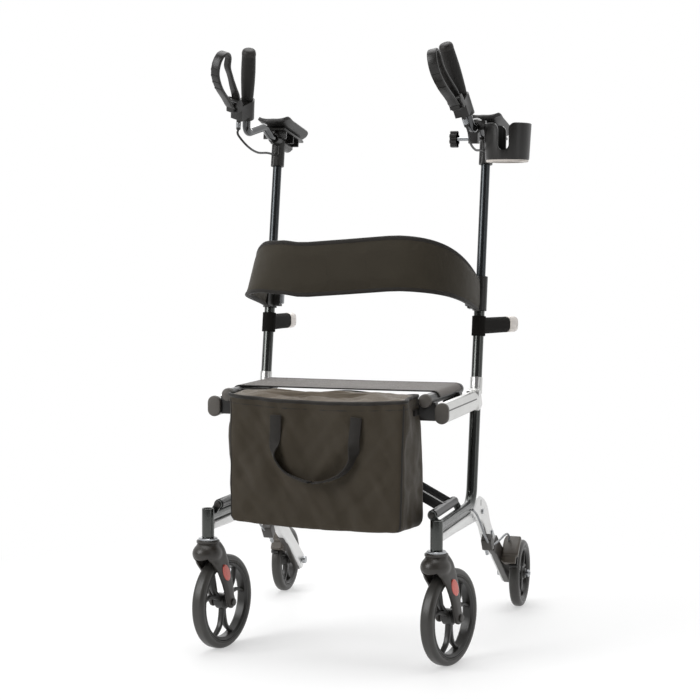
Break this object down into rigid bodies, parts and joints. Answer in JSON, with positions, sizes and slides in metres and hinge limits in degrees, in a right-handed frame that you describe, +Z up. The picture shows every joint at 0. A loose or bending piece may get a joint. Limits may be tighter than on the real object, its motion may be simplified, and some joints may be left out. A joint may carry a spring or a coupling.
{
  "type": "upright walker",
  "caption": "Upright rolling walker with forearm rests, angled grips and loop brake levers, seat sling, back strap, bag, cup holder and folding cross frame.",
  "frame": {"origin": "on the floor under the middle of the box", "axes": "+Z up, -Y forward in the walking direction, +X to the user's left"},
  "size_m": [0.704, 0.7968, 1.302],
  "materials": {
    "tube": "dark slate anodised",
    "silver": "satin silver",
    "plastic": "moulded matte",
    "grey_plastic": "moulded matte",
    "grip": "soft touch",
    "steel": "zinc plated",
    "dark_plastic": "moulded matte",
    "rim": "moulded matte",
    "tyre": "smooth solid tyre",
    "cable": "sheathed cable",
    "pad": "skinned foam",
    "handle": "polished dark anodised",
    "fabric": "woven, bound edges",
    "bag_cloth": "woven"
  },
  "bodies": {
    "frame_left": {"frame_tube_left": "tube", "rear_leg_left": "silver", "seat_rail_left": "silver", "rail_fittings_left": "plastic", "strap_clamp_left": "plastic", "assist_handle_left": "grip", "frame_hardware_left": "steel", "brake_housing_left": "dark_plastic", "brake_cable_left": "cable", "back_strap": "fabric", "bag": "bag_cloth", "bag_handle": "fabric"},
    "frame_right": {"frame_tube_right": "tube", "rear_leg_right": "silver", "seat_rail_right": "silver", "rail_fittings_right": "plastic", "strap_clamp_right": "plastic", "assist_handle_right": "grip", "frame_hardware_right": "steel", "brake_housing_right": "dark_plastic", "brake_cable_right": "cable"},
    "cross_left": {"brace_left": "tube", "cross_pivot": "steel", "seat_right": "fabric"},
    "cross_right": {"brace_right": "tube", "seat_left": "fabric"},
    "caster_left": {"caster_fork_left": "dark_plastic", "caster_hardware_left": "steel"},
    "front_wheel_left": {"front_rim_left": "rim", "front_tyre_left": "tyre"},
    "rear_wheel_left": {"rear_rim_left": "rim", "rear_tyre_left": "tyre"},
    "brake_left": {"brake_shoe_left": "plastic"},
    "button_left": {"height_button_left": "grey_plastic"},
    "arm_left": {"inner_post_left": "tube", "arm_bracket_left": "plastic", "arm_pad_left": "pad"},
    "handle_left": {"handle_tube_left": "handle", "hand_grip_left": "grip", "lever_housing_left": "plastic", "lever_cable_left": "cable", "cup_holder": "plastic"},
    "lever_left": {"brake_lever_left": "plastic"},
    "caster_right": {"caster_fork_right": "dark_plastic", "caster_hardware_right": "steel"},
    "front_wheel_right": {"front_rim_right": "rim", "front_tyre_right": "tyre"},
    "rear_wheel_right": {"rear_rim_right": "rim", "rear_tyre_right": "tyre"},
    "brake_right": {"brake_shoe_right": "plastic"},
    "button_right": {"height_button_right": "grey_plastic"},
    "arm_right": {"inner_post_right": "tube", "arm_bracket_right": "plastic", "arm_pad_right": "pad"},
    "handle_right": {"handle_tube_right": "handle", "hand_grip_right": "grip", "lever_housing_right": "plastic", "lever_cable_right": "cable"},
    "lever_right": {"brake_lever_right": "plastic"},
    "knob": {"cup_knob": "plastic"}
  },
  "joints": [
    {"name": "fold", "type": "hinge", "parent": "frame_left", "child": "cross_left", "pos_m": [0.208, -0.00255, 0.317], "axis": [0, 1, 0], "range_deg": [0, 50], "deforming": ["back_strap", "bag", "bag_handle", "seat_left", "seat_right"]},
    {"name": "fold_cross", "type": "hinge", "parent": "cross_left", "child": "cross_right", "pos_m": [-0.027, -0.00255, 0.43945], "axis": [0, 1, 0], "range_deg": [-100, 0], "deforming": ["seat_left", "seat_right"]},
    {"name": "fold_right", "type": "hinge", "parent": "cross_right", "child": "frame_right", "pos_m": [-0.262, -0.00255, 0.317], "axis": [0, 1, 0], "range_deg": [0, 50], "deforming": ["back_strap", "bag", "bag_handle"]},
    {"name": "caster_swivel_left", "type": "hinge", "parent": "frame_left", "child": "caster_left", "pos_m": [0.223, -0.33955, 0.249], "axis": [0, 0, 1], "continuous": true},
    {"name": "front_wheel_spin_left", "type": "hinge", "parent": "caster_left", "child": "front_wheel_left", "pos_m": [0.23816, -0.28668, 0.1015], "axis": [0.9613, -0.2756, 0], "continuous": true},
    {"name": "rear_wheel_spin_left", "type": "hinge", "parent": "frame_left", "child": "rear_wheel_left", "pos_m": [0.272, 0.31845, 0.08], "axis": [1, 0, 0], "continuous": true},
    {"name": "brake_shoe_turn_left", "type": "hinge", "parent": "frame_left", "child": "brake_left", "pos_m": [0.272, 0.23778, 0.11259], "axis": [-1, 0, 0], "range_deg": [0, 2.7]},
    {"name": "height_button_press_left", "type": "slide", "parent": "frame_left", "child": "button_left", "axis": [1, 0, 0], "range_m": [0, 0.003], "stiffness_N_per_m": 1500},
    {"name": "arm_height_left", "type": "slide", "parent": "frame_left", "child": "arm_left", "axis": [0, 0.1582, 0.9874], "range_m": [-0.16, 0.07]},
    {"name": "handle_reach_left", "type": "slide", "parent": "arm_left", "child": "handle_left", "axis": [0, -0.9874, 0.1582], "range_m": [-0.008, 0.04], "deforming": ["lever_cable_left"]},
    {"name": "brake_lever_squeeze_left", "type": "hinge", "parent": "handle_left", "child": "lever_left", "pos_m": [0.21401, -0.16431, 1.1784], "axis": [-0.9799, 0.0921, -0.1768], "range_deg": [0, 14], "stiffness_Nm_per_rad": 1.5},
    {"name": "caster_swivel_right", "type": "hinge", "parent": "frame_right", "child": "caster_right", "pos_m": [-0.277, -0.33955, 0.249], "axis": [0, 0, 1], "continuous": true},
    {"name": "front_wheel_spin_right", "type": "hinge", "parent": "caster_right", "child": "front_wheel_right", "pos_m": [-0.26556, -0.28575, 0.1015], "axis": [0.9781, -0.2079, 0], "continuous": true},
    {"name": "rear_wheel_spin_right", "type": "hinge", "parent": "frame_right", "child": "rear_wheel_right", "pos_m": [-0.326, 0.31845, 0.08], "axis": [1, 0, 0], "continuous": true},
    {"name": "brake_shoe_turn_right", "type": "hinge", "parent": "frame_right", "child": "brake_right", "pos_m": [-0.326, 0.23778, 0.11259], "axis": [-1, 0, 0], "range_deg": [0, 2.7]},
    {"name": "height_button_press_right", "type": "slide", "parent": "frame_right", "child": "button_right", "axis": [-1, 0, 0], "range_m": [0, 0.003], "stiffness_N_per_m": 1500},
    {"name": "arm_height_right", "type": "slide", "parent": "frame_right", "child": "arm_right", "axis": [0, 0.1582, 0.9874], "range_m": [-0.16, 0.07]},
    {"name": "handle_reach_right", "type": "slide", "parent": "arm_right", "child": "handle_right", "axis": [0, -0.9874, 0.1582], "range_m": [-0.008, 0.04], "deforming": ["lever_cable_right"]},
    {"name": "brake_lever_squeeze_right", "type": "hinge", "parent": "handle_right", "child": "lever_right", "pos_m": [-0.28396, -0.16339, 1.18254], "axis": [-0.9265, 0.2017, 0.3175], "range_deg": [0, 14], "stiffness_Nm_per_rad": 1.5},
    {"name": "cup_knob_turn", "type": "hinge", "parent": "handle_left", "child": "knob", "pos_m": [0.22825, -0.01955, 1.10435], "axis": [1, 0, 0], "continuous": true}
  ],
  "couplings": [
    {"joint": "fold_cross", "follows": "fold", "ratio": -2},
    {"joint": "fold_right", "follows": "fold", "ratio": 1},
    {"joint": "brake_shoe_turn_left", "follows": "brake_lever_squeeze_left", "ratio": 0.19},
    {"joint": "brake_shoe_turn_right", "follows": "brake_lever_squeeze_right", "ratio": 0.19}
  ]
}
